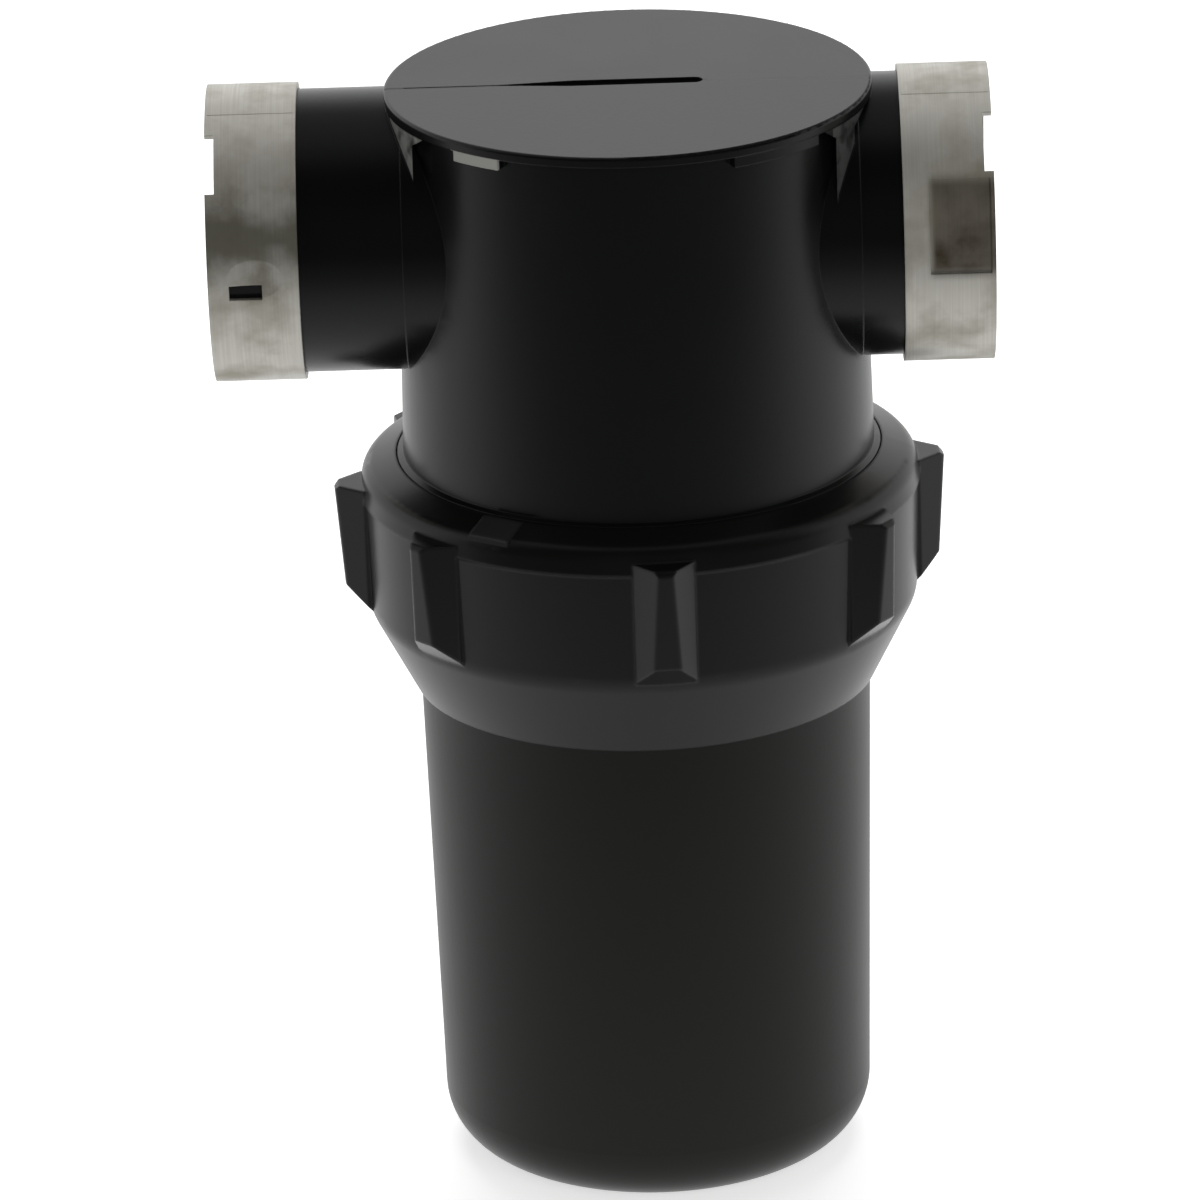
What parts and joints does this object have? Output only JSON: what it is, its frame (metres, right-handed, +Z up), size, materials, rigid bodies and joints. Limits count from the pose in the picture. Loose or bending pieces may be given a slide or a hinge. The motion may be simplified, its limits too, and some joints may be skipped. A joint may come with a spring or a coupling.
{
  "type": "inline strainer",
  "caption": "Black T-shaped inline strainer with threaded ports in steel bands, a flat-topped head, a ribbed union collar and a long bowl that holds a mesh screen.",
  "frame": {"origin": "middle of the bowl's flat base, which is what the strainer stands on", "axes": "+Z up along the bowl's axis, +X out of the short outlet port, -X out of the long inlet port, front towards -Y"},
  "size_m": [0.1674, 0.1328, 0.2453],
  "materials": {
    "black_moulding": "moulded black polypropylene with a soft sheen",
    "bowl_moulding": "moulded black polypropylene, a little duller",
    "band_steel": "satin stainless steel",
    "seal_rubber": "black seal rubber",
    "cage_moulding": "moulded dark polypropylene",
    "mesh_steel": "woven stainless wire"
  },
  "bodies": {
    "head": {"head": "black_moulding", "inlet_band": "band_steel", "outlet_band": "band_steel"},
    "bowl": {"bowl": "bowl_moulding", "bowl_o_ring": "seal_rubber", "screen_cage": "cage_moulding", "screen_mesh": "mesh_steel"},
    "collar": {"collar_nut": "black_moulding"}
  },
  "joints": [
    {"name": "bowl_drop", "type": "slide", "parent": "head", "child": "bowl", "axis": [0, 0, -1], "range_m": [0, 0.024]},
    {"name": "collar_turn", "type": "hinge", "parent": "bowl", "child": "collar", "pos_m": [0, 0, 0.13], "axis": [0, 0, -1], "range_deg": [0, 2160]}
  ],
  "couplings": [
    {"joint": "bowl_drop", "follows": "collar_turn", "m_per_rad": 0.00063662}
  ]
}
